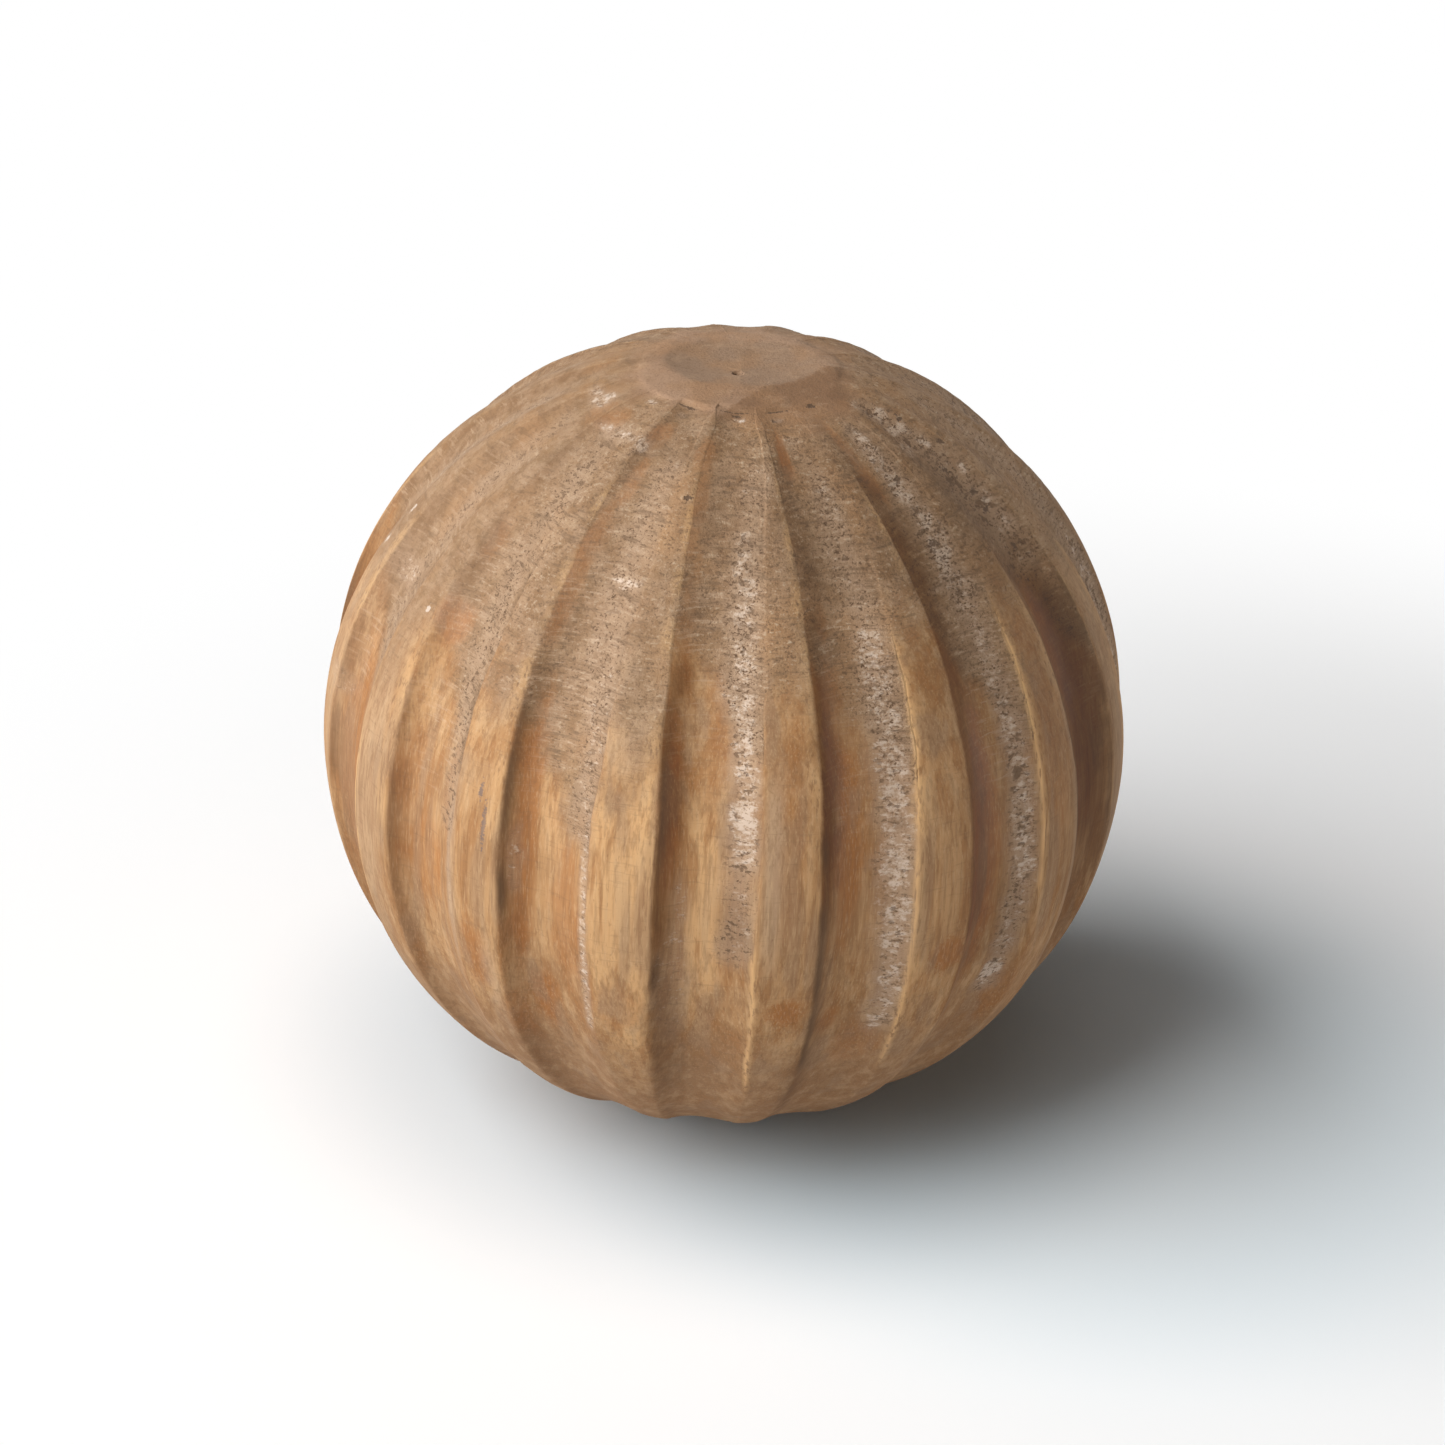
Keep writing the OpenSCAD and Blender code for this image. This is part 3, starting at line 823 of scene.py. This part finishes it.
tone = lay(tone, marks(SCRATCHES), GREY_SCRATCH, much=0.75)

# A matt grey-brown wash over the upper part and low down.
MURK_DARK = (0.210, 0.125, 0.064, 1)
MURK_PALE = (0.325, 0.214, 0.130, 1)
MURK_WARM = (0.315, 0.175, 0.083, 1)
WASH_PALE = (0.325, 0.195, 0.108, 1)
WASH_DARK = (0.260, 0.150, 0.078, 1)
murk = mix(between(clumps, 0.35, 0.65), MURK_DARK, MURK_PALE)
murk = lay(murk, between(clouds, 0.5, 0.68), MURK_WARM, much=0.7)
tone = lay(tone, mask("rough"), murk, much=0.75)
washed = mix(between(tints, 0.38, 0.62), WASH_PALE, WASH_DARK)
tone = lay(tone, mask("wash"), washed, much=0.5)

# Lime: pale clots between dark pits where the wood is torn, and fine flecks on the
# upper part, in rows that follow the gouge's chatter.
LIME_FLECK = (0.500, 0.370, 0.250, 1)
LIME_ROW = (0.560, 0.400, 0.270, 1)
TORN_WOOD = (0.335, 0.222, 0.138, 1)
LIME_FILM = (0.445, 0.305, 0.205, 1)
LIME_CLOT = (0.600, 0.468, 0.365, 1)
flecks = sum_of((grains, 0.5), (chatter, 0.3), (fine_grains, 0.2))
clots = sum_of((rows, 0.45), (grains, 0.4), (clumps, 0.35), (fine_grains, 0.25))
filled = between(sum_of((clots, 1.0), (mask("lime"), 0.20)), 0.86, 1.03)
tone = lay(tone, times(mask("grit"), times(between(flecks, 0.53, 0.64), 0.6)), LIME_FLECK)
tone = lay(tone, times(mask("combed"), times(between(chatter, 0.53, 0.68), 0.4)), LIME_ROW)
tone = lay(tone, mask("torn"), TORN_WOOD, much=0.5)
tone = lay(tone, mask("lime"), LIME_FILM, much=0.45)
tone = lay(tone, times(between(mask("lime"), 0.05, 0.7), filled), LIME_CLOT, much=0.9)

# Open pores, gaps in the torn wood dark with painted shade, and painted shade on the dark side of the
# chatter.
OPEN_PORE = (0.115, 0.062, 0.030, 1)
TORN_GAP_SHADE = (0.120, 0.066, 0.032, 1)
ROUGH_ROW_SHADE = (0.150, 0.090, 0.048, 1)
FAINT_ROW_SHADE = (0.150, 0.085, 0.045, 1)
pores = sum_of((grains, 0.55), (fine_grains, 0.45))
rough_pores = times(mask("grit"), between(pores, 0.48, 0.37))
torn_pores = times(mask("torn"), between(pores, 0.46, 0.37))
narrow_gaps = times(mask("torn"), between(cracks, 0.43, 0.35))
wide_gaps = times(between(mask("torn"), 0.7, 1.2), between(clumps, 0.41, 0.33))
gaps = maths("MAXIMUM", narrow_gaps, wide_gaps)
tone = lay(tone, maths("ADD", rough_pores, torn_pores), OPEN_PORE, much=0.74)
tone = lay(tone, gaps, TORN_GAP_SHADE, much=0.75)
tone = lay(tone, times(mask("grit"), between(chatter, 0.45, 0.33)), ROUGH_ROW_SHADE, much=0.45)
tone = lay(tone, between(chatter, 0.45, 0.30), FAINT_ROW_SHADE, much=0.2)

# The crown's chisel cuts are smooth, from dark brown to grey tan, partly as painted light
# and shade, and its hollow is grey.
CUT_DARK = (0.215, 0.112, 0.054, 1)
CUT_PALE = (0.390, 0.245, 0.155, 1)
HOLLOW_GREY = (0.275, 0.178, 0.112, 1)
CUT_WARM = (0.350, 0.188, 0.088, 1)
CUT_CLUMP = (0.230, 0.135, 0.072, 1)
CUT_PORE = (0.140, 0.075, 0.038, 1)
CUT_ROW = (0.480, 0.310, 0.190, 1)
cut_face = mix(mask("facet_light_and_tone"), CUT_DARK, CUT_PALE)
cut_face = lay(cut_face, mask("hollow"), HOLLOW_GREY, much=0.75)
cut_face = lay(cut_face, between(clouds, 0.45, 0.60), CUT_WARM, much=0.5)
cut_face = lay(cut_face, between(clumps, 0.48, 0.36), CUT_CLUMP, much=0.3)
cut_face = lay(cut_face, between(fine_grains, 0.47, 0.34), CUT_PORE, much=0.4)
cut_face = lay(cut_face, between(chatter, 0.53, 0.68), CUT_ROW, much=0.3)
tone = lay(tone, mask("crown"), cut_face, much=0.87)

# Darkened wood, dirt and painted shade in the steep walls, dirt and painted shade in a crease
# under each arris, rubbed edges with a painted highlight, pits dark with painted shade,
# painted shadows under the lips where the gouge stopped at the crown, and specks of lime.
DARKENING_TINT = (0.53, 0.475, 0.40, 1)
DIRT_AND_SHADE_TINT = (0.50, 0.36, 0.19, 1)
CREASE_SHADE_AND_DIRT = (0.072, 0.034, 0.012, 1)
RUBBED_GOLD_AND_HIGHLIGHT = (0.715, 0.430, 0.195, 1)
PIT_SHADE = (0.085, 0.048, 0.026, 1)
SPECK_WHITE = (0.600, 0.490, 0.400, 1)
# The pits are dark with painted shade, and the stop lines are painted shadows under the lips where the gouge
# stopped at the crown.
PITS = [(-13.2, 58.5, 0.6, 0.3), (71, 66, 0.4, 0.5), (73.5, 59.5, 0.4, 0.6), (66, 56.5, 0.5, 0.6),
        (68, 51.5, 0.7, 0.4), (67, 48.5, 0.8, 0.35), (67.5, 42, 0.4, 0.8), (47.5, 59, 0.5, 0.3),
        (45.5, 48.5, 0.8, 0.5), (-20.6, 89.0, 0.85, 0.35)]
STOP_SHADOWS = [(-2.5, 75.9, 1.9, 0.12), (20.5, 76, 1.6, 0.12), (-30, 75.2, 1.0, 0.2),
              (43, 75.6, 0.6, 0.35), (-1.5, 75, 0.5, 0.25), (17, 73.8, 0.4, 0.25)]
SPECKS = [(-81.5, 38, 0.4, 0.7), (-82.5, 32, 0.4, 0.7), (-57.5, 31, 0.3, 0.4), (0.5, 74, 0.4, 0.3)]
pits = marks(PITS + STOP_SHADOWS)
tone = lay(tone, mask("darkened"), DARKENING_TINT, blend="MULTIPLY")
tone = lay(tone, mask("dirt_and_shade"), DIRT_AND_SHADE_TINT, blend="MULTIPLY")
# Painted shade, with some dirt, in the crease under each arris.
tone = lay(tone, mask("crease_shade_and_dirt"), CREASE_SHADE_AND_DIRT, much=0.82)
# Rubbed edges, bright partly from wear and partly from a painted highlight.
tone = lay(tone, times(mask("rubbed_and_highlit"), between(fibres, 0.34, 0.50)), RUBBED_GOLD_AND_HIGHLIGHT, much=0.7)
tone = lay(tone, pits, PIT_SHADE, much=0.85)
tone = lay(tone, marks(SPECKS), SPECK_WHITE, much=0.8)

# Matt wood, smoother where it is amber. Its fine relief is fibres and chatter
# everywhere, pores, clots in the torn wood, and pits.
MATT = 0.78
AMBER_SMOOTHER = 0.22
SHEEN = 0.4
RELIEF_STRENGTH = 0.6
RELIEF_DEPTH = 0.0004
shader = node("BsdfPrincipled")
plug(shader.inputs["Base Color"], tone)
plug(shader.inputs["Roughness"], maths("SUBTRACT", MATT, times(mask("amber"), AMBER_SMOOTHER)))
shader.inputs["Specular IOR Level"].default_value = SHEEN
pored = maths("MULTIPLY", mask("grit"), pores)
clotted = maths("MULTIPLY", mask("torn"), clots)
holes = maths("MAXIMUM", gaps, pits)
height = sum_of((fibres, 0.12), (chatter, 0.12), (pored, 0.7), (clotted, 0.5), (holes, -0.5))
bump = node("Bump")
bump.inputs["Strength"].default_value = RELIEF_STRENGTH
bump.inputs["Distance"].default_value = RELIEF_DEPTH
plug(bump.inputs["Height"], height)
plug(shader.inputs["Normal"], bump.outputs[0])
plug(node("OutputMaterial").inputs["Surface"], shader.outputs[0])
mesh.materials.append(wood)

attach(ball, "root")
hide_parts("ball")


# ---------------------------------------------------------------------------
# The floor and the light
# A plain white floor that keeps the ball's soft shadow, a broad window light from the
# left, weak lights from both walls and from above, and a pale room.
# ---------------------------------------------------------------------------
FLOOR_HALF = 3.0

# The paper is white to the eye, with painted shade darkening it under the ball and a painted
# cool tint in the deep of its shadow, and it throws less light back. A pair of distances
# says where a change starts and is complete.
FLOOR_WHITE = (1.0, 1.0, 1.0, 1)
FLOOR_BOUNCE = (0.6, 0.6, 0.6, 1)
SHADOW_MIDDLE = (0.05, -0.01, 0)
SHADOW_FADES = (0.12, 0.2)
PAINTED_SHADE_REACH = (0.067, 0.03)
PAINTED_SHADE_COLOUR = (0.72, 0.772, 0.806, 1)
PAINTED_SHADOW_REACH = (0.078, 0.035)
PAINTED_SHADOW_TINT = (0.89, 0.965, 1.0, 1)

floor_mesh = bpy.data.meshes.new("floor")
floor_corners = [(x * FLOOR_HALF, y * FLOOR_HALF, 0) for x, y in ((-1, -1), (1, -1), (1, 1), (-1, 1))]
floor_mesh.from_pydata(floor_corners, [], [(0, 1, 2, 3)])
floor = bpy.data.objects.new("floor", floor_mesh)
bpy.context.scene.collection.objects.link(floor)
paper = bpy.data.materials.new("floor_paper")
paper.use_nodes = True
tree = paper.node_tree
tree.nodes.clear()
here = node("TexCoord").outputs["Object"]
seen = node("LightPath").outputs["Is Camera Ray"]
matt = node("BsdfDiffuse")
from_foot = node("VectorMath", operation="LENGTH")
plug(from_foot.inputs[0], here)
# As the camera sees it, the paper gets painted shade under the ball and a painted cool tint in the shadow's
# deep.
grey = mix(between(from_foot.outputs["Value"], *PAINTED_SHADE_REACH), FLOOR_WHITE, PAINTED_SHADE_COLOUR)
from_ball = node("VectorMath", operation="DISTANCE")
plug(from_ball.inputs[0], here)
from_ball.inputs[1].default_value = SHADOW_MIDDLE
grey = mix(between(from_ball.outputs["Value"], *PAINTED_SHADOW_REACH), grey, PAINTED_SHADOW_TINT, "MULTIPLY")
plug(matt.inputs["Color"], mix(seen, FLOOR_BOUNCE, grey))
white = node("Emission")
faded = times(seen, between(from_ball.outputs["Value"], *SHADOW_FADES))
either = node("MixShader")
plug(either.inputs[0], faded)
plug(either.inputs[1], matt.outputs[0])
plug(either.inputs[2], white.outputs[0])
plug(node("OutputMaterial").inputs["Surface"], either.outputs[0])
floor_mesh.materials.append(paper)


def lamp(name, azimuth, elevation, away, size, power):
    """An area lamp that faces the ball. Azimuth 0 is the front, and it grows to the right."""
    turn, rise = math.radians(azimuth), math.radians(elevation)
    back = Vector((math.sin(turn) * math.cos(rise), -math.cos(turn) * math.cos(rise), math.sin(rise)))
    light = bpy.data.lights.new(name, "AREA")
    light.shape = "RECTANGLE"
    light.size, light.size_y = size
    light.energy = power
    made = bpy.data.objects.new(name, light)
    bpy.context.scene.collection.objects.link(made)
    made.location = middle + back * away
    made.rotation_mode = "QUATERNION"
    made.rotation_quaternion = back.to_track_quat("Z", "Y")


lamp("window", azimuth=-70, elevation=38, away=2.4, size=(2.8, 2.8), power=108)
lamp("right_wall", azimuth=80, elevation=0, away=1.5, size=(1.6, 0.07), power=7)
lamp("left_wall", azimuth=-50, elevation=0, away=1.5, size=(1.4, 0.07), power=5.6)
lamp("ceiling", azimuth=-10, elevation=70, away=1.2, size=(0.9, 0.9), power=1.5)

# The pale room: dim where it lights the ball, white where it is seen or mirrored.
ROOM_DIM = (0.04, 0.04, 0.04, 1)
ROOM_WHITE = (1, 1, 1, 1)
world = bpy.data.worlds.new("room")
bpy.context.scene.world = world
world.use_nodes = True
tree = world.node_tree
tree.nodes.clear()
path = node("LightPath")
bright = maths("MAXIMUM", path.outputs["Is Camera Ray"], path.outputs["Is Glossy Ray"])
air = node("Background")
plug(air.inputs["Color"], mix(bright, ROOM_DIM, ROOM_WHITE))
plug(node("OutputWorld").inputs["Surface"], air.outputs[0])
bpy.context.scene.view_settings.view_transform = "Standard"
